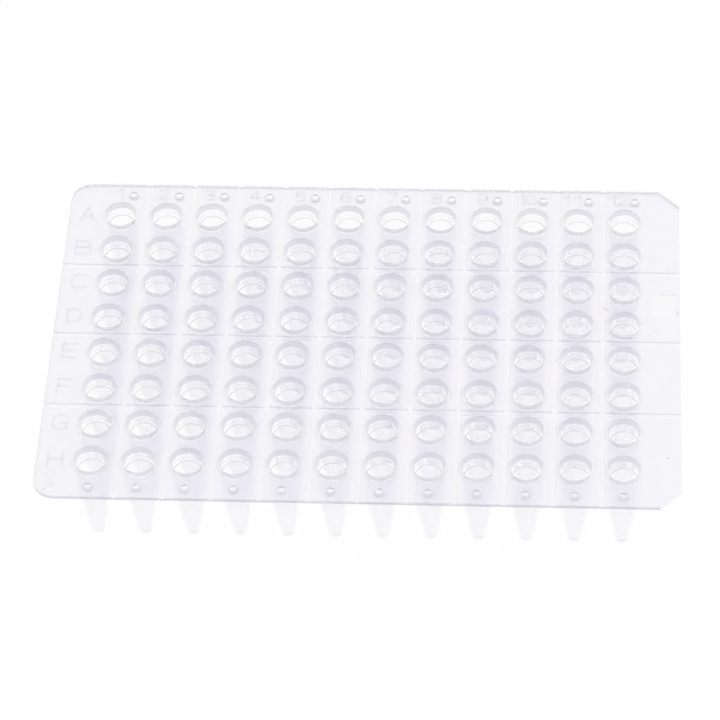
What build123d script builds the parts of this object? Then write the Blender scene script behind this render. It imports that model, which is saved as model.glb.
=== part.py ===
from build123d import *
from math import cos, radians, sin, tan
import os

# A 96-well plate for thermal cyclers, moulded in one shot of clear polypropylene: a thin flat
# deck with a raised lip round each well and conical tubes hanging below it, without a skirt.
# Millimetres. X runs along the columns, Y from the last row to the first and Z up. The plate
# stands on its well tips at Z = 0, with the origin under the middle of its outline.

# Well grid
well_pitch = 9.0
column_count = 12
row_count = 8

# Deck, with the margins from the outermost well centres to its edges
deck_thickness = 0.85
left_margin = 10.2
right_margin = 10.7
back_margin = 8.8
front_margin = 8.4
left_corner_radius = 4.0
right_corner_chamfer = 4.0  # cut corners key the plate's orientation

# Grooves in the deck's top face, between all columns and between every second pair of rows
column_groove_width = 1.0
row_groove_width = 1.4
groove_depth = 0.4
rows_per_strip = 2

# Pin holes along the back and front edges, one of each at every column, wider underneath
hole_top_diameter = 1.35
hole_bottom_diameter = 2.0
hole_to_edge = 2.6
back_hole_offset = 2.0  # to the right of the column's centre

# Blank pocket in the right margin
pocket_width = 4.7
pocket_length = 6.1
pocket_depth = 0.15
pocket_to_edge = 0.7
pocket_from_first_row = 21.75

# Lip round each well, above the deck
lip_height = 0.7
lip_width = 0.15
lip_flare = 0.45  # how much further out its foot lies

# Well, with its depths taken from the deck's top face
collar_diameter = 5.4  # where a cap fits
collar_wall = 0.3
lead_in_width = 0.4
lead_in_depth = 0.4
ledge_width = 0.2
ledge_depth = 2.35
cone_angle = 17.5  # included
cone_wall = 0.3
tip_radius = 1.35  # outside
well_length = 20.3  # to the outside of the tip

deck_length = left_margin + (column_count - 1) * well_pitch + right_margin
deck_width = front_margin + (row_count - 1) * well_pitch + back_margin
grid_centre = Pos((left_margin - right_margin) / 2, (front_margin - back_margin) / 2)
first_row_y = deck_width / 2 - back_margin

mouth_radius = collar_diameter / 2 + lead_in_width
barrel_radius = collar_diameter / 2 - ledge_width
tube_radius = collar_diameter / 2 + collar_wall
cone_half_angle = radians(cone_angle / 2)
tip_centre_z = tip_radius - well_length


def deck():
    outline = Rectangle(deck_length, deck_width)
    outline = fillet(outline.vertices().group_by(Axis.X)[0], left_corner_radius)
    outline = chamfer(outline.vertices().group_by(Axis.X)[-1], right_corner_chamfer)
    return extrude(outline, -deck_thickness) - grooves() - pin_holes() - pocket()


def grooves():
    column_cut = Box(column_groove_width, 2 * deck_width, 2 * groove_depth)
    row_cut = Box(2 * deck_length, row_groove_width, 2 * groove_depth)
    gaps = GridLocations(well_pitch, 0, column_count - 1, 1)
    cuts = [grid_centre * place * column_cut for place in gaps]
    for rows_behind in range(rows_per_strip, row_count, rows_per_strip):
        cuts.append(Pos(0, first_row_y - (rows_behind - 0.5) * well_pitch) * row_cut)
    return cuts


def pin_holes():
    hole = Cone(hole_bottom_diameter / 2, hole_top_diameter / 2, deck_thickness)
    edge_y = deck_width / 2 - hole_to_edge
    holes = []
    for place in GridLocations(well_pitch, 0, column_count, 1):
        x = (grid_centre * place).position.X
        holes.append(Pos(x + back_hole_offset, edge_y, -deck_thickness / 2) * hole)
        holes.append(Pos(x, -edge_y, -deck_thickness / 2) * hole)
    return holes


def pocket():
    x = deck_length / 2 - pocket_to_edge - pocket_width / 2
    y = first_row_y - pocket_from_first_row
    return Pos(x, y) * Box(pocket_width, pocket_length, 2 * pocket_depth)


def tube_side(radius, top_z, end_radius):
    # Section of one side of a tube, as X and Z: the straight barrel down to the cone, the cone,
    # and the round end that the cone is tangent to
    foot_x = end_radius * cos(cone_half_angle)
    foot_z = tip_centre_z - end_radius * sin(cone_half_angle)
    bend_z = foot_z + (radius - foot_x) / tan(cone_half_angle)
    end = CenterArc((0, tip_centre_z), end_radius, -90, 90 - cone_angle / 2)
    return Polyline((radius, top_z), (radius, bend_z), (foot_x, foot_z)) + end


def turned(lines):
    return revolve(Plane.XZ * make_face(lines.edges()), Axis.Z)


def tube_body():
    # Lip and tube as one turned solid, still without the well inside it
    lip_radius = mouth_radius + lip_width
    lines = Polyline(
        (0, tip_centre_z - tip_radius),
        (0, lip_height),
        (lip_radius, lip_height),
        (lip_radius + lip_flare, 0),
        (tube_radius, 0),
    )
    return turned(lines + tube_side(tube_radius, 0, tip_radius))


def well():
    # The hollow inside: lead-in, collar for a cap, ledge, barrel and cone
    end_radius = tip_radius - cone_wall
    lines = Polyline(
        (0, tip_centre_z - end_radius),
        (0, 2 * lip_height),
        (mouth_radius, 2 * lip_height),
        (mouth_radius, lip_height),
        (collar_diameter / 2, -lead_in_depth),
        (collar_diameter / 2, -ledge_depth),
        (barrel_radius, -ledge_depth),
    )
    return turned(lines + tube_side(barrel_radius, -ledge_depth, end_radius))


def well_plate():
    grid = GridLocations(well_pitch, well_pitch, column_count, row_count)
    places = [grid_centre * place for place in grid]
    body = tube_body()
    hollow = well()
    plate = deck() + [place * body for place in places]
    plate -= [place * hollow for place in places]
    return Pos(0, 0, well_length) * plate


os.makedirs("parts", exist_ok=True)
export_step(well_plate(), "parts/well_plate.step")
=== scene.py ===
import bmesh
import bpy
from math import cos, pi, radians, sin, tan
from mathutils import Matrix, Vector


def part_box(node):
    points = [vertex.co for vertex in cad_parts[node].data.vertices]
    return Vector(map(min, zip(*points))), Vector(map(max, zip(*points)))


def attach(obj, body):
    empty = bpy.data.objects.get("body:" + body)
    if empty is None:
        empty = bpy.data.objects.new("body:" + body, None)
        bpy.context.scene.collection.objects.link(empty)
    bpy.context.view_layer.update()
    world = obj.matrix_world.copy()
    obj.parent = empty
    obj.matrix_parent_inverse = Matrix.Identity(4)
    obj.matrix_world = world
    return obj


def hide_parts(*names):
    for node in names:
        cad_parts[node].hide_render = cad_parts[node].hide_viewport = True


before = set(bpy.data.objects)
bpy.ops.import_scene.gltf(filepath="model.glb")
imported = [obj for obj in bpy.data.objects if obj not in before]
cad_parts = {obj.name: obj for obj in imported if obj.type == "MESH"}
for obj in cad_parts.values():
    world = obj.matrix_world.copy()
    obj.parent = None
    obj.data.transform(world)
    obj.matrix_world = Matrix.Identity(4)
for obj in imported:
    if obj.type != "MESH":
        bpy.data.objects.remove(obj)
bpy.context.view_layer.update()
nodeLow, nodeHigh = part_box("well_plate")

# A clear 96-well plate that stands on its well tips. Its sizes are in mm.
mm = 0.001
overshoot = 1.0  # how far a cutting solid stands out of the plate

grid = {
    "pitch": 9.0,
    "columns": 12,
    "rows": 8,
    "left": 10.2,  # from the plate's left edge to the first column
    "back": 8.8,  # from its back edge to row A
}

deck = {
    "lipHeight": 0.7,  # the lips are the highest thing on the plate
    "thickness": 0.85,
    "cornerRadius": 4.0,  # of the two round corners on the left
    "cornerSteps": 10,
    "cornerCut": 4.0,  # of the two cut corners on the right
}

# the deck's top face, the plate's edges, and the axis of well A1
deckLevel = nodeHigh[2] / mm - deck["lipHeight"]
leftEdge, frontEdge = nodeLow[0] / mm, nodeLow[1] / mm
rightEdge, backEdge = nodeHigh[0] / mm, nodeHigh[1] / mm
firstX = leftEdge + grid["left"]
firstY = backEdge - grid["back"]


def newObject(name, points, faces):
    mesh = bpy.data.meshes.new(name)
    mesh.from_pydata([Vector(p) * mm for p in points], [], faces)
    mesh.update()
    obj = bpy.data.objects.new(name, mesh)
    bpy.context.collection.objects.link(obj)
    return obj


def barFaces(count):
    # two ends with as many corners each, and the sides between them
    sides = [(i, (i + 1) % count, count + (i + 1) % count, count + i) for i in range(count)]
    return [tuple(reversed(range(count))), tuple(range(count, 2 * count)), *sides]


def prism(name, outline, low, high):
    # outline runs anticlockwise seen from above
    points = [(x, y, low) for x, y in outline] + [(x, y, high) for x, y in outline]
    return newObject(name, points, barFaces(len(outline)))


def turned(name, profile, segments):
    # profile runs from the top of the axis to its foot, as radius and height
    points = [(0, 0, profile[0][1])]
    faces = []
    rings = profile[1:-1]
    for radius, z in rings:
        for k in range(segments):
            angle = 2 * pi * k / segments
            points.append((radius * cos(angle), radius * sin(angle), z))
    points.append((0, 0, profile[-1][1]))
    last = len(points) - 1
    foot = last - segments
    for k in range(segments):
        after = (k + 1) % segments
        faces.append((0, 1 + k, 1 + after))
        for ring in range(len(rings) - 1):
            a, b = 1 + ring * segments, 1 + (ring + 1) * segments
            faces.append((a + k, b + k, b + after, a + after))
        faces.append((foot + k, last, foot + after))
    return newObject(name, points, faces)


def finalMesh(obj):
    # the object's mesh with its modifiers applied
    depsgraph = bpy.context.evaluated_depsgraph_get()
    return bpy.data.meshes.new_from_object(obj.evaluated_get(depsgraph))


def repeatOnGrid(obj):
    # one copy at every well
    obj.location = Vector((firstX, firstY, deckLevel)) * mm
    steps = ((grid["columns"], (grid["pitch"], 0, 0)), (grid["rows"], (0, -grid["pitch"], 0)))
    for count, offset in steps:
        array = obj.modifiers.new("grid", "ARRAY")
        array.count = count
        array.use_relative_offset = False
        array.use_constant_offset = True
        array.constant_offset_displace = Vector(offset) * mm
    return obj


def combine(target, tool, operation):
    # solid boolean, applied at once; the tool goes
    cut = target.modifiers.new("solid", "BOOLEAN")
    cut.operation = operation
    cut.solver = "MANIFOLD"
    cut.object = tool
    mesh = finalMesh(target)
    target.modifiers.clear()
    target.data = mesh
    bpy.data.objects.remove(tool)


def joined(name, objects):
    # several solids that don't touch, as one tool
    bpy.context.view_layer.update()
    points, faces = [], []
    for obj in objects:
        start = len(points)
        points += [obj.matrix_world @ v.co / mm for v in obj.data.vertices]
        faces += [[start + i for i in p.vertices] for p in obj.data.polygons]
        bpy.data.objects.remove(obj)
    return newObject(name, points, faces)


print("plate: deck")


def deckOutline():
    radius, cut = deck["cornerRadius"], deck["cornerCut"]
    outline = [
        (rightEdge - cut, frontEdge),
        (rightEdge, frontEdge + cut),
        (rightEdge, backEdge - cut),
        (rightEdge - cut, backEdge),
    ]
    for centreY, start in ((backEdge - radius, 90), (frontEdge + radius, 180)):
        for k in range(deck["cornerSteps"] + 1):
            angle = radians(start + 90 * k / deck["cornerSteps"])
            outline.append((leftEdge + radius + radius * cos(angle), centreY + radius * sin(angle)))
    return outline


plate = prism("wellPlate", deckOutline(), deckLevel - deck["thickness"], deckLevel)


print("plate: tubes and wells")

tube = {
    "segments": 36,
    "lipRadius": 3.25,
    "lipRounding": 0.03,
    "flank": ((0.06, 0.5), (0.18, 0.2)),  # how far out, at what share of the lip's height
    "footRadius": 3.7,
    "footRise": 0.01,  # where the flank ends, just above the deck
    "buried": 0.05,  # how far the foot and the root go on inside the deck
    "buriedDepth": 0.2,
    "barrelRadius": 3.0,
    "rootFillet": 0.35,
    "filletMiddle": 0.3,  # what is left of the fillet at its middle
    "bendLength": 0.4,  # the wall starts to bend this far above the cone
    "bendStart": (0.02, 0.05),  # inwards and down from the cone's top
    "bendEnd": 0.1,  # inwards
    "halfAngle": 8.75,  # of the cone, in degrees
    "length": 20.3,
    "tipRadius": 1.35,
    "tipSteps": 3,
}

bore = {
    "mouthRadius": 3.1,
    "collarRadius": 2.7,
    "collarTop": -0.4,  # from the deck's face, as the ledge is
    "ledge": -2.35,
    "ledgeSlope": 0.04,
    "barrelRadius": 2.5,
    "coneWall": 0.3,
    "tipSteps": 2,
}


def roundEnd(centre, radius, steps):
    # from the cone's foot down to just above the pole
    start = radians(tube["halfAngle"])
    angles = [start + (pi / 2 - start) * k / (steps + 1) for k in range(steps + 1)]
    return [(radius * cos(a), centre - radius * sin(a)) for a in angles]


def onCone(radius, end):
    # the point where the cone above the point called end has this radius
    return radius, end[1] + (radius - end[0]) / tan(radians(tube["halfAngle"]))


def tubeProfile():
    lip, foot, height = tube["lipRadius"], tube["footRadius"], deck["lipHeight"]
    root, fillet, middle = -deck["thickness"], tube["rootFillet"], tube["filletMiddle"]
    barrel, buried = tube["barrelRadius"], tube["buried"]
    end = roundEnd(tube["tipRadius"] - tube["length"], tube["tipRadius"], tube["tipSteps"])
    bend = onCone(barrel, end[0])[1]
    bendIn, bendDown = tube["bendStart"]
    return [
        (0, height),
        (lip - tube["lipRounding"], height),
        (lip, height - tube["lipRounding"]),
        *[(lip + out, share * height) for out, share in tube["flank"]],
        (foot, tube["footRise"]),
        (foot + buried, -tube["buriedDepth"]),
        (barrel + fillet + buried, root + buried),
        (barrel + middle * fillet, root - middle * fillet),
        (barrel, root - fillet),
        (barrel, bend + tube["bendLength"]),
        (barrel - bendIn, bend - bendDown),
        onCone(barrel - tube["bendEnd"], end[0]),
        *end,
        (0, -tube["length"]),
    ]


def boreProfile():
    height, mouth, collar = deck["lipHeight"], bore["mouthRadius"], bore["collarRadius"]
    barrel, ledge = bore["barrelRadius"], bore["ledge"]
    tipCentre = tube["tipRadius"] - tube["length"]
    radius = tube["tipRadius"] - bore["coneWall"]
    end = roundEnd(tipCentre, radius, bore["tipSteps"])
    bend = onCone(barrel, end[0])[1]
    return [
        (0, 2 * height),
        (mouth, 2 * height),
        (mouth, height - tube["lipRounding"]),
        (collar, bore["collarTop"]),
        (collar, ledge),
        (barrel, ledge - bore["ledgeSlope"]),
        (barrel, bend + tube["bendLength"]),
        onCone(barrel - tube["bendEnd"], end[0]),
        *end,
        (0, tipCentre - radius),
    ]


combine(plate, repeatOnGrid(turned("tubes", tubeProfile(), tube["segments"])), "UNION")
combine(plate, repeatOnGrid(turned("wells", boreProfile(), tube["segments"])), "DIFFERENCE")


print("plate: grooves")

grooves = {
    "depth": 0.38,
    "columnWidth": 1.0,
    "rowWidth": 1.4,
    "draft": 0.06,
    "rowsPerStrip": 2,
}


def groove(along, middle, width):
    # tapered a little towards its floor
    half, floor = width / 2, width / 2 - grooves["draft"]
    low = -grooves["depth"]
    section = [
        (-floor, low),
        (floor, low),
        (half, 0),
        (half, overshoot),
        (-half, overshoot),
        (-half, 0),
    ]
    reach = max(rightEdge - leftEdge, backEdge - frontEdge)
    points = []
    for end in (-reach, reach):
        for across, z in section:
            spot = (end, middle + across) if along == "x" else (middle - across, end)
            points.append((*spot, deckLevel + z))
    return newObject("groove", points, barFaces(len(section)))


columnGrooves = []
for column in range(1, grid["columns"]):
    middle = -(firstX + (column - 0.5) * grid["pitch"])
    columnGrooves.append(groove("y", middle, grooves["columnWidth"]))
rowGrooves = []
for row in range(grooves["rowsPerStrip"], grid["rows"], grooves["rowsPerStrip"]):
    middle = firstY - (row - 0.5) * grid["pitch"]
    rowGrooves.append(groove("x", middle, grooves["rowWidth"]))
combine(plate, joined("columnGrooves", columnGrooves), "DIFFERENCE")
combine(plate, joined("rowGrooves", rowGrooves), "DIFFERENCE")


print("plate: pin holes and pocket")

pinHole = {
    "topRadius": 0.675,
    "bottomRadius": 1.0,
    "flare": 0.05,  # of the cutting solid beyond both faces
    "toEdge": 2.6,
    "backOffset": 2.0,  # of the back holes, to the right of their wells
    "segments": 20,
}

pocket = {
    "width": 4.7,
    "length": 6.1,
    "depth": 0.15,
    "toEdge": 0.7,
    "fromRowA": 21.75,  # to its middle
}


def pin(x, y):
    under = -deck["thickness"]
    profile = [
        (0, overshoot),
        (pinHole["topRadius"] - pinHole["flare"], overshoot),
        (pinHole["topRadius"], 0),
        (pinHole["bottomRadius"], under),
        (pinHole["bottomRadius"] + pinHole["flare"], under - overshoot),
        (0, under - overshoot),
    ]
    solid = turned("pin", profile, pinHole["segments"])
    solid.location = Vector((x, y, deckLevel)) * mm
    return solid


pins = []
for column in range(grid["columns"]):
    columnX = firstX + column * grid["pitch"]
    pins.append(pin(columnX + pinHole["backOffset"], backEdge - pinHole["toEdge"]))
    pins.append(pin(columnX, frontEdge + pinHole["toEdge"]))
combine(plate, joined("pins", pins), "DIFFERENCE")

pocketRight = rightEdge - pocket["toEdge"]
pocketLeft = pocketRight - pocket["width"]
pocketFront = firstY - pocket["fromRowA"] - pocket["length"] / 2
pocketBack = firstY - pocket["fromRowA"] + pocket["length"] / 2
pocketSides = (
    (pocketLeft, pocketFront),
    (pocketRight, pocketFront),
    (pocketRight, pocketBack),
    (pocketLeft, pocketBack),
)
pocketCut = prism("pocket", pocketSides, deckLevel - pocket["depth"], deckLevel + overshoot)
combine(plate, pocketCut, "DIFFERENCE")


print("markings: row letters and column numbers")

lettering = {
    "rows": "ABCDEFGH",
    "strokeRadius": 0.22,
    "strokeRoundness": 2,
    "bendSteps": 4,  # in each stretch of a bent stroke
    "rise": 0.04,  # of the strokes' middles above the deck
    "letterSize": (2.75, 3.4),
    "letterFromEdge": 2.2,
    "letterFromWell": -1.3,
    "digitSize": (1.9, 2.5),
    "digitGap": 2.2,
    "pairShift": 0.55,  # of a two-digit number, to the right
    "digitFromWell": 1.85,
    "digitFromEdge": 4.0,
    "cavity": "2",  # the mould's cavity number, reversed under the front left corner
    "cavityCorner": (3.7, 3.2),
    "cavitySize": (1.8, 3.2),
    # painted shade: the strokes are a darker grey than the clear deck, for the shading along the
    # raised lettering
    "colour": (0.74, 0.73, 0.81),
    "roughness": 0.25,
    "haze": 0.15,
}

# the strokes of each character in a square of 1 by 1: straight between two points, and a smooth
# curve along more of them
glyphs = {
    "A": [[(0, 0), (0.5, 1)], [(0.5, 1), (1, 0)], [(0.17, 0.33), (0.83, 0.33)]],
    "B": [
        [(0, 0), (0, 1)],
        [(0, 1), (0.6, 1), (1, 1), (1, 0.52), (0.6, 0.52), (0, 0.52)],
        [(0.3, 0.52), (0.65, 0.52), (1.08, 0.5), (1.08, 0), (0.6, 0), (0, 0)],
    ],
    "C": [
        [(1, 0.86), (0.85, 1), (0.3, 1.05), (0, 0.8), (0, 0.2), (0.3, -0.05), (0.85, 0), (1, 0.14)],
    ],
    "D": [[(0, 0), (0, 1)], [(0, 1), (0.55, 1), (1, 0.85), (1, 0.15), (0.55, 0), (0, 0)]],
    "E": [[(0, 0), (0, 1)], [(0, 1), (1, 1)], [(0, 0.52), (0.85, 0.52)], [(0, 0), (1, 0)]],
    "F": [[(0, 0), (0, 1)], [(0, 1), (1, 1)], [(0, 0.5), (0.85, 0.5)]],
    "G": [
        [(1, 0.86), (0.85, 1), (0.3, 1.05), (0, 0.8), (0, 0.2), (0.3, -0.05), (0.85, 0), (1, 0.1)],
        [(1, 0.08), (1, 0.44)],
        [(0.55, 0.44), (1, 0.44)],
    ],
    "H": [[(0, 0), (0, 1)], [(1, 0), (1, 1)], [(0, 0.5), (1, 0.5)]],
    "0": [
        [(0.5, 1), (0.95, 1), (1, 0.5), (0.95, 0), (0.5, 0)],
        [(0.5, 1), (0.05, 1), (0, 0.5), (0.05, 0), (0.5, 0)],
    ],
    "1": [[(0.85, 0), (0.85, 1)], [(0.15, 0.68), (0.85, 1)]],
    "2": [[(0, 0.78), (0.1, 1.02), (0.95, 1.02), (1, 0.6), (0.2, 0.25), (0, 0)], [(0, 0), (1, 0)]],
    "3": [
        [(0, 0.86), (0.15, 1), (0.95, 1.04), (0.95, 0.52), (0.35, 0.52)],
        [(0.35, 0.52), (1.02, 0.52), (1.02, -0.02), (0.15, -0.02), (0, 0.15)],
    ],
    "4": [[(0.75, 0), (0.75, 1)], [(0.75, 1), (0, 0.3)], [(0, 0.3), (1, 0.3)]],
    "5": [
        [(0.95, 1), (0.15, 1)],
        [(0.15, 1), (0.08, 0.55)],
        [(0.08, 0.55), (0.6, 0.72), (1.02, 0.55), (1.02, 0), (0.2, -0.03), (0, 0.14)],
    ],
    "6": [
        [(0.9, 0.93), (0.6, 1.05), (0.05, 0.95), (0, 0.3)],
        [(0, 0.3), (0.02, 0), (0.5, -0.02), (1, 0), (1, 0.58), (0.5, 0.62), (0.1, 0.6), (0, 0.35)],
    ],
    "7": [[(0, 1), (1, 1)], [(1, 1), (0.35, 0)]],
    "8": [
        [(0.5, 0.53), (0.02, 0.55), (0.02, 1), (0.5, 1), (0.98, 1), (0.98, 0.55), (0.5, 0.53)],
        [(0.5, 0.53), (-0.02, 0.5), (-0.02, 0), (0.5, 0), (1.02, 0), (1.02, 0.5), (0.5, 0.53)],
    ],
    "9": [
        [(1, 0.7), (0.98, 1), (0.5, 1.02), (0, 1), (0, 0.42), (0.5, 0.38), (0.9, 0.4), (1, 0.65)],
        [(1, 0.7), (0.95, 0.05), (0.4, -0.05), (0.1, 0.07)],
    ],
}


def closeEnds(mesh):
    # makes each stroke a closed solid
    solid = bmesh.new()
    solid.from_mesh(mesh)
    bmesh.ops.holes_fill(solid, edges=solid.edges)
    bmesh.ops.recalc_face_normals(solid, faces=solid.faces)
    solid.to_mesh(mesh)
    solid.free()


def written(name, words):
    # words holds text, left, foot, height, size and direction; each pen stroke is a round bar
    pen = bpy.data.curves.new(name, "CURVE")
    pen.dimensions = "3D"
    pen.bevel_depth = lettering["strokeRadius"] * mm
    pen.bevel_resolution = lettering["strokeRoundness"]
    pen.resolution_u = lettering["bendSteps"]
    for text, left, foot, z, size, direction in words:
        for place, character in enumerate(text):
            start = left + direction * place * lettering["digitGap"]
            for points in glyphs[character]:
                bent = len(points) > 2
                line = pen.splines.new("NURBS" if bent else "POLY")
                line.points.add(len(points) - 1)
                for spot, (x, y) in zip(line.points, points):
                    across, up = start + direction * size[0] * x, foot + size[1] * y
                    spot.co = (across * mm, up * mm, z * mm, 1)
                if bent:
                    line.order_u = 3
                    line.use_endpoint_u = True
    curve = bpy.data.objects.new(name, pen)
    bpy.context.collection.objects.link(curve)
    mesh = finalMesh(curve)
    bpy.data.objects.remove(curve)
    closeEnds(mesh)
    relief = bpy.data.objects.new(name, mesh)
    bpy.context.collection.objects.link(relief)
    return relief


words = []
topZ = deckLevel + lettering["rise"]
for row, letter in enumerate(lettering["rows"]):
    left = leftEdge + lettering["letterFromEdge"]
    foot = firstY - row * grid["pitch"] + lettering["letterFromWell"]
    words.append((letter, left, foot, topZ, lettering["letterSize"], 1))
for column in range(grid["columns"]):
    number = str(column + 1)
    left = firstX + column * grid["pitch"] - lettering["digitFromWell"]
    if len(number) > 1:
        left -= lettering["digitGap"] - lettering["pairShift"]
    foot = backEdge - lettering["digitFromEdge"]
    words.append((number, left, foot, topZ, lettering["digitSize"], 1))
cavityX, cavityY = lettering["cavityCorner"]
cavitySpot = (leftEdge + cavityX, frontEdge + cavityY)
undersideZ = deckLevel - deck["thickness"] - lettering["rise"]
words.append((lettering["cavity"], *cavitySpot, undersideZ, lettering["cavitySize"], -1))
relief = written("markings", words)


print("specks and scratch")

marks = {
    "speckRadius": 0.16,
    "speckSegments": 8,
    "speckRings": ((1.0, -0.1), (0.7, 0.3)),  # reach and height, both as shares of the radius
    "speckTop": 0.4,  # as a share of the radius too
    # from the front left corner, with each speck's relative size
    "specks": (
        (2.1, 1.7, 0.8),
        (117.4, 11.7, 1.0),
        (115.1, 19.1, 0.6),
        (119.4, 47.9, 1.1),
        (114.9, 43.4, 0.7),
        (115.6, 42.9, 0.5),
    ),
    "scratch": ((104.8, 49.4), (106.8, 47.9)),  # its two ends, from the same corner
    "scratchRadius": 0.08,
    "scratchFoot": 0.1,  # how deep it sits in the deck, as a share of its radius
    "colour": (0.35, 0.34, 0.4),
    "roughness": 0.3,
    "haze": 0.5,
}


def dots(name, spots, radius, z):
    # small flat domes, as left by specks in the mould
    steps = marks["speckSegments"]
    points, faces = [], []
    for x, y, scale in spots:
        start = len(points)
        for ring, height in marks["speckRings"]:
            for k in range(steps):
                angle = 2 * pi * k / steps
                reach = radius * scale * ring
                points.append((x + reach * cos(angle), y + reach * sin(angle), z + radius * height))
        points.append((x, y, z + radius * marks["speckTop"]))
        faces.append(tuple(reversed(range(start, start + steps))))
        for k in range(steps):
            after = (k + 1) % steps
            faces.append((start + k, start + after, start + steps + after, start + steps + k))
            faces.append((start + steps + k, start + steps + after, start + 2 * steps))
    return newObject(name, points, faces)


def scratch(name, ends, radius, z):
    # a thin raised sliver along a scratch
    (startX, startY), (endX, endY) = ends
    length = ((endX - startX) ** 2 + (endY - startY) ** 2) ** 0.5
    sideX, sideY = radius * (startY - endY) / length, radius * (endX - startX) / length
    middleX, middleY = (startX + endX) / 2, (startY + endY) / 2
    foot = z - marks["scratchFoot"] * radius
    points = [
        (startX, startY, foot),
        (endX, endY, foot),
        (middleX + sideX, middleY + sideY, foot),
        (middleX - sideX, middleY - sideY, foot),
        (middleX, middleY, z + radius),
    ]
    return newObject(name, points, [(0, 4, 2), (2, 4, 1), (1, 4, 3), (3, 4, 0), (0, 2, 1, 3)])


spots = [(leftEdge + x, frontEdge + y, scale) for x, y, scale in marks["specks"]]
specks = dots("specks", spots, marks["speckRadius"], deckLevel)
ends = [(leftEdge + x, frontEdge + y) for x, y in marks["scratch"]]
sliver = scratch("scratch", ends, marks["scratchRadius"], deckLevel)
print(len(plate.data.polygons) + len(relief.data.polygons), "faces")


print("clear plastic")

plastic = {
    "ior": 1.25,
    "transmission": 0.5,  # the share of the scattered light that goes on through
    "colour": (0.92, 0.9, 1.0),  # of the wells' insides
    "roughness": 0.2,
    "haze": 0.06,  # how much of the light each surface scatters, instead of letting it through
    "sharpAngle": 15,  # edges that turn by more degrees stay sharp
    "grainSize": 1.2,
    "grainDepth": 0.004,
    "cloudSize": 7.0,
    "cloudiness": 0.12,
    "noiseDetail": 3.0,
    "roughnessSpread": 0.08,
    # the stretches that look different, by level above the deck's face, by how far they face up
    # or down, and for some by how far they face away from the well's axis. Several of their colours
    # are painted shade, each marked below
    "regionsWithPaintedShade": {
        "collar": {"level": (-2.3, -0.4), "tilt": (-0.1, 0.2),
                   "colour": (0.95, 0.935, 1.0), "roughness": 0.2, "haze": 0.13},
        "tube": {"level": (-21, -0.86), "tilt": (-0.1, 1.1), "outward": 0.05,
                 "colour": (0.86, 0.83, 0.95), "roughness": 0.25, "haze": 0.15},
        "tip": {"level": (-21, -18.6), "tilt": (-0.1, 1.1), "outward": 0.05,
                "colour": (0.78, 0.76, 0.85), "roughness": 0.35, "haze": 0.22},
        "deck": {"level": (-0.9, 0.05), "tilt": (0.97, 1.1),
                 "colour": (0.92, 0.9, 0.975), "roughness": 0.3, "haze": 0.42},
        "pocket": {"level": (-0.2, -0.1), "tilt": (0.97, 1.1),
                   "colour": (1.0, 0.97, 1.0), "roughness": 0.3, "haze": 0.35},
        "groove": {"level": (-0.45, -0.3), "tilt": (0.97, 1.1),
                   "colour": (0.98, 0.97, 1.0), "roughness": 0.3, "haze": 0.26},
        # painted shade: the groove sides are painted a darker grey
        "side": {"level": (-0.39, -0.01), "tilt": (-0.1, 0.2), "outward": -0.5,
                 "colour": (0.68, 0.67, 0.75), "roughness": 0.3, "haze": 0.5},
        # painted shade: the plate's outer edge faces are painted a darker grey
        "edge": {"level": (-0.84, -0.39), "tilt": (-0.1, 0.2), "outward": -0.5,
                 "colour": (0.55, 0.54, 0.62), "roughness": 0.3, "haze": 0.7},
        # painted shade: the pin holes' sloping walls are painted dark
        "pinHole": {"level": (-0.84, -0.01), "tilt": (0.25, 0.5),
                    "colour": (0.34, 0.33, 0.4), "roughness": 0.3, "haze": 0.65},
        # partly the lip's thicker plastic, partly painted shade: the lip is painted greyer than the
        # deck
        "lip": {"level": (0.02, 0.75), "tilt": (-0.1, 1.1),
                "colour": (0.82, 0.805, 0.88), "roughness": 0.3, "haze": 0.39},
        # painted shade: the lead-in slope is painted darker, for the grey ring round each mouth
        "leadIn": {"level": (-0.42, 0.69), "tilt": (0.2, 0.45),
                   "colour": (0.68, 0.67, 0.75), "roughness": 0.3, "haze": 0.57},
        # painted shade: the ledge is painted darker, for the grey arc inside each well
        "ledge": {"level": (-2.45, -2.2), "tilt": (0.5, 1.1),
                  "colour": (0.6, 0.59, 0.65), "roughness": 0.3, "haze": 0.55},
    },
}
everyWay = -2.0  # the least outward value of a stretch that may face anywhere


def newGroup(name, inputs, outputs):
    group = bpy.data.node_groups.new(name, "ShaderNodeTree")
    for label, value in inputs:
        socket = group.interface.new_socket(label, in_out="INPUT", socket_type="NodeSocketFloat")
        socket.default_value = value
    for label in outputs:
        group.interface.new_socket(label, in_out="OUTPUT", socket_type="NodeSocketFloat")
    return group, group.nodes.new("NodeGroupInput"), group.nodes.new("NodeGroupOutput")


def mathNode(nodes, links, operation, *values):
    node = nodes.new("ShaderNodeMath")
    node.operation = operation
    for socket, value in zip(node.inputs, values):
        if isinstance(value, (int, float)):
            socket.default_value = value
        else:
            links.new(value, socket)
    return node.outputs[0]


def rangeNode(nodes, links, value, source, target, kind="LINEAR"):
    node = nodes.new("ShaderNodeMapRange")
    node.interpolation_type = kind
    for label, limit in zip(("From Min", "From Max", "To Min", "To Max"), (*source, *target)):
        node.inputs[label].default_value = limit
    links.new(value, node.inputs["Value"])
    return node.outputs["Result"]


def mixNode(nodes, links, kind, factor, before, after):
    node = nodes.new("ShaderNodeMix")
    node.data_type = kind
    links.new(factor, node.inputs["Factor"])
    socketType = {"RGBA": "RGBA", "FLOAT": "VALUE"}[kind]
    first, second = [s for s in node.inputs if s.type == socketType][-2:]
    for socket, value in ((first, before), (second, after)):
        if isinstance(value, tuple):
            socket.default_value = (*value, 1)
        elif isinstance(value, (int, float)):
            socket.default_value = value
        else:
            links.new(value, socket)
    return next(o for o in node.outputs if o.type == socketType)


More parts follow.
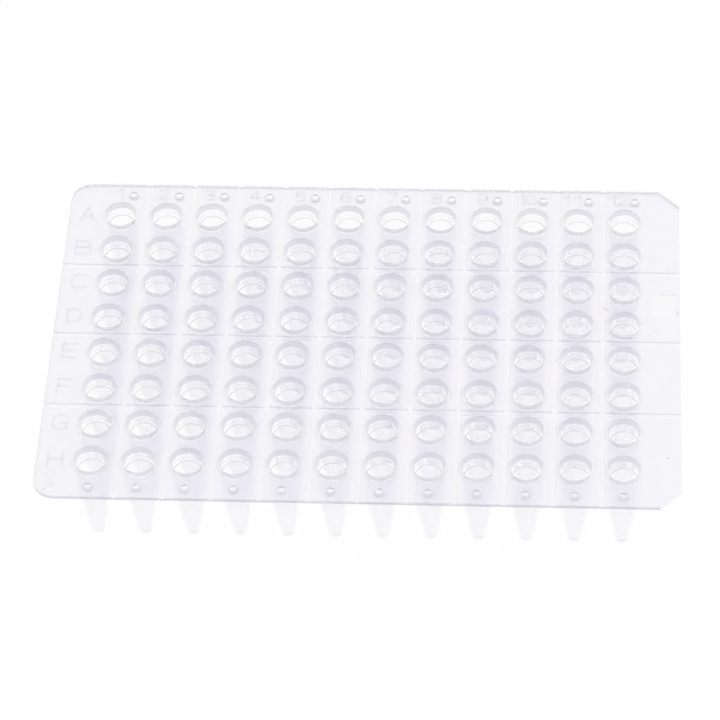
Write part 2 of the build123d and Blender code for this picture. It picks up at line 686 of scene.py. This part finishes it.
def regionMask():
    # 1 where the surface lies between two levels, with its tilt between two values and facing
    # away from the nearest well's axis by at least a third value, else 0
    inputs = [
        ("Lowest", 0.0),
        ("Highest", 1.0),
        ("Least Tilt", 0.0),
        ("Most Tilt", 1.0),
        ("Least Outward", everyWay),
    ]
    group, start, end = newGroup("region", inputs, ["Mask"])
    nodes, links = group.nodes, group.links
    where = nodes.new("ShaderNodeTexCoord")
    place = nodes.new("ShaderNodeSeparateXYZ")
    facing = nodes.new("ShaderNodeSeparateXYZ")
    links.new(where.outputs["Object"], place.inputs[0])
    links.new(where.outputs["Normal"], facing.inputs[0])
    half = grid["pitch"] * mm / 2
    parts = []
    for axis, first in (("X", firstX), ("Y", firstY)):
        fromFirst = mathNode(nodes, links, "SUBTRACT", place.outputs[axis], first * mm)
        fromAxis = mathNode(nodes, links, "WRAP", fromFirst, half, -half)
        inRadii = mathNode(nodes, links, "DIVIDE", fromAxis, tube["barrelRadius"] * mm)
        parts.append(mathNode(nodes, links, "MULTIPLY", inRadii, facing.outputs[axis]))
    outward = mathNode(nodes, links, "ADD", *parts)
    level = place.outputs["Z"]
    tilt = mathNode(nodes, links, "ABSOLUTE", facing.outputs["Z"])
    mask = mathNode(nodes, links, "GREATER_THAN", level, start.outputs["Lowest"])
    for operation, value, limit in (
        ("LESS_THAN", level, "Highest"),
        ("GREATER_THAN", tilt, "Least Tilt"),
        ("LESS_THAN", tilt, "Most Tilt"),
        ("GREATER_THAN", outward, "Least Outward"),
    ):
        inside = mathNode(nodes, links, operation, value, start.outputs[limit])
        mask = mathNode(nodes, links, "MULTIPLY", mask, inside)
    links.new(mask, end.inputs["Mask"])
    return group


def mouldedDetail():
    # faint unevenness of a moulded face, and cloudiness that changes over it
    inputs = [("Grain Size", 1.0), ("Cloud Size", 8.0)]
    group, start, end = newGroup("mouldedDetail", inputs, ["Height", "Cloud"])
    nodes, links = group.nodes, group.links
    where = nodes.new("ShaderNodeTexCoord")
    for size, output in (("Grain Size", "Height"), ("Cloud Size", "Cloud")):
        noise = nodes.new("ShaderNodeTexNoise")
        noise.inputs["Detail"].default_value = plastic["noiseDetail"]
        scale = mathNode(nodes, links, "DIVIDE", 1 / mm, start.outputs[size])
        links.new(where.outputs["Object"], noise.inputs["Vector"])
        links.new(scale, noise.inputs["Scale"])
        links.new(noise.outputs["Fac"], end.inputs[output])
    return group


def newPlastic(name):
    # clear plastic with the moulded unevenness on it, and its cloudiness
    material = bpy.data.materials.new(name)
    material.use_nodes = True
    nodes, links = material.node_tree.nodes, material.node_tree.links
    shader = nodes["Principled BSDF"]
    shader.inputs["IOR"].default_value = plastic["ior"]
    shader.inputs["Transmission Weight"].default_value = plastic["transmission"]
    detail = nodes.new("ShaderNodeGroup")
    detail.node_tree = bpy.data.node_groups.get("mouldedDetail") or mouldedDetail()
    detail.inputs["Grain Size"].default_value = plastic["grainSize"]
    detail.inputs["Cloud Size"].default_value = plastic["cloudSize"]
    bump = nodes.new("ShaderNodeBump")
    bump.inputs["Distance"].default_value = plastic["grainDepth"] * mm
    bump.inputs["Strength"].default_value = 1.0
    links.new(detail.outputs["Height"], bump.inputs["Height"])
    links.new(bump.outputs["Normal"], shader.inputs["Normal"])
    return material, shader, detail.outputs["Cloud"]


def simplePlastic(name, look):
    material, shader, cloud = newPlastic(name)
    nodes, links = material.node_tree.nodes, material.node_tree.links
    shader.inputs["Base Color"].default_value = (*look["colour"], 1)
    shader.inputs["Alpha"].default_value = look["haze"]
    spread = plastic["roughnessSpread"]
    limits = (look["roughness"] - spread, look["roughness"] + spread)
    links.new(rangeNode(nodes, links, cloud, (0, 1), limits), shader.inputs["Roughness"])
    return material


def platePlastic():
    material, shader, cloud = newPlastic("clearPolypropylene")
    nodes, links = material.node_tree.nodes, material.node_tree.links
    group = regionMask()
    kinds = {"colour": "RGBA", "roughness": "FLOAT", "haze": "FLOAT"}
    values = {key: plastic[key] for key in kinds}
    # each region's colour is mixed in where its mask is 1; several of these colours are painted
    # shade
    for look in plastic["regionsWithPaintedShade"].values():
        region = nodes.new("ShaderNodeGroup")
        region.node_tree = group
        region.inputs["Lowest"].default_value = (deckLevel + look["level"][0]) * mm
        region.inputs["Highest"].default_value = (deckLevel + look["level"][1]) * mm
        region.inputs["Least Tilt"].default_value = look["tilt"][0]
        region.inputs["Most Tilt"].default_value = look["tilt"][1]
        region.inputs["Least Outward"].default_value = look.get("outward", everyWay)
        mask = region.outputs["Mask"]
        for key, kind in kinds.items():
            values[key] = mixNode(nodes, links, kind, mask, values[key], look[key])
    limits = (1 - plastic["cloudiness"], 1 + plastic["cloudiness"])
    uneven = rangeNode(nodes, links, cloud, (0, 1), limits)
    roughness = mathNode(nodes, links, "MULTIPLY", values["roughness"], uneven)
    haze = mathNode(nodes, links, "MULTIPLY", values["haze"], uneven)
    links.new(values["colour"], shader.inputs["Base Color"])
    links.new(roughness, shader.inputs["Roughness"])
    links.new(haze, shader.inputs["Alpha"])
    return material


grit = simplePlastic("grit", marks)
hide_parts("well_plate")
for piece, material in (
    (plate, platePlastic()),
    (relief, simplePlastic("raisedPolypropylene", lettering)),
    (specks, grit),
    (sliver, grit),
):
    for face in piece.data.polygons:
        face.use_smooth = True
    piece.data.materials.clear()
    piece.data.materials.append(material)
    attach(piece, "root")
plate.data.set_sharp_from_angle(angle=radians(plastic["sharpAngle"]))


print("floor, light and camera")

studio = {
    "floorReach": 3000,
    "floorLevel": -0.2,
    "paper": 0.9,
    "paperGlow": 0.97,  # of a plain white that the floor shows to the camera and through plastic
    "sky": (0.9, 1.0),  # strength at the horizon and overhead
    "skyTop": 0.7,  # the height of the direction from which the sky is at its full strength
    "sides": (0.85, 1.1),  # how the strength changes from left to right
}

view = {
    "place": (0.03757, -0.47452, 0.55058),  # metres
    "turn": (41.56303459, 1.68211437, 2.77943754),  # degrees
    "lens": 186.65,
    "sensor": 36,
    "clipEnd": 50,
}


def whitePaper():
    paper = bpy.data.materials.new("paper")
    paper.use_nodes = True
    paper.cycles.emission_sampling = "NONE"  # the glow answers only rays that reach it
    nodes, links = paper.node_tree.nodes, paper.node_tree.links
    nodes.clear()
    output = nodes.new("ShaderNodeOutputMaterial")
    diffuse = nodes.new("ShaderNodeBsdfDiffuse")
    diffuse.inputs["Color"].default_value = (*[studio["paper"]] * 3, 1)
    glow = nodes.new("ShaderNodeEmission")
    glow.inputs["Color"].default_value = (1, 1, 1, 1)
    glow.inputs["Strength"].default_value = 1.0
    path = nodes.new("ShaderNodeLightPath")
    seen = path.outputs["Is Camera Ray"]
    for ray in ("Is Glossy Ray", "Is Transmission Ray"):
        seen = mathNode(nodes, links, "MAXIMUM", seen, path.outputs[ray])
    mix = nodes.new("ShaderNodeMixShader")
    links.new(mathNode(nodes, links, "MULTIPLY", seen, studio["paperGlow"]), mix.inputs[0])
    links.new(diffuse.outputs[0], mix.inputs[1])
    links.new(glow.outputs[0], mix.inputs[2])
    links.new(mix.outputs[0], output.inputs["Surface"])
    return paper


def softSky():
    world = bpy.data.worlds.new("studio")
    world.use_nodes = True
    world.cycles.sampling_method = "NONE"  # the light is nearly even, so rays find it unaided
    nodes, links = world.node_tree.nodes, world.node_tree.links
    direction = nodes.new("ShaderNodeTexCoord")
    split = nodes.new("ShaderNodeSeparateXYZ")
    links.new(direction.outputs["Generated"], split.inputs[0])
    rising, across = split.outputs["Z"], split.outputs["X"]
    sky = rangeNode(nodes, links, rising, (0, studio["skyTop"]), studio["sky"], "SMOOTHSTEP")
    sideways = rangeNode(nodes, links, across, (-1, 1), studio["sides"])
    strength = mathNode(nodes, links, "MULTIPLY", sky, sideways)
    path = nodes.new("ShaderNodeLightPath")
    shown = mixNode(nodes, links, "FLOAT", path.outputs["Is Camera Ray"], strength, 1.0)
    background = nodes["Background"]
    background.inputs["Color"].default_value = (1, 1, 1, 1)
    links.new(shown, background.inputs["Strength"])
    return world


reach, low = studio["floorReach"], studio["floorLevel"]
corners = [(-reach, -reach, low), (reach, -reach, low), (reach, reach, low), (-reach, reach, low)]
floor = newObject("floor", corners, [(0, 1, 2, 3)])
floor.data.materials.append(whitePaper())

cameraData = bpy.data.cameras.new("camera")
cameraData.sensor_width = view["sensor"]
cameraData.lens = view["lens"]
cameraData.clip_end = view["clipEnd"]
camera = bpy.data.objects.new("camera", cameraData)
camera.location = view["place"]
camera.rotation_euler = [radians(angle) for angle in view["turn"]]
bpy.context.collection.objects.link(camera)

scene = bpy.context.scene
scene.world = softSky()
scene.camera = camera
scene.view_settings.view_transform = "Standard"
# light passes many clear walls in turn
scene.cycles.max_bounces = 16
scene.cycles.diffuse_bounces = 10
scene.cycles.glossy_bounces = 8
scene.cycles.transmission_bounces = 12
scene.cycles.transparent_max_bounces = 64
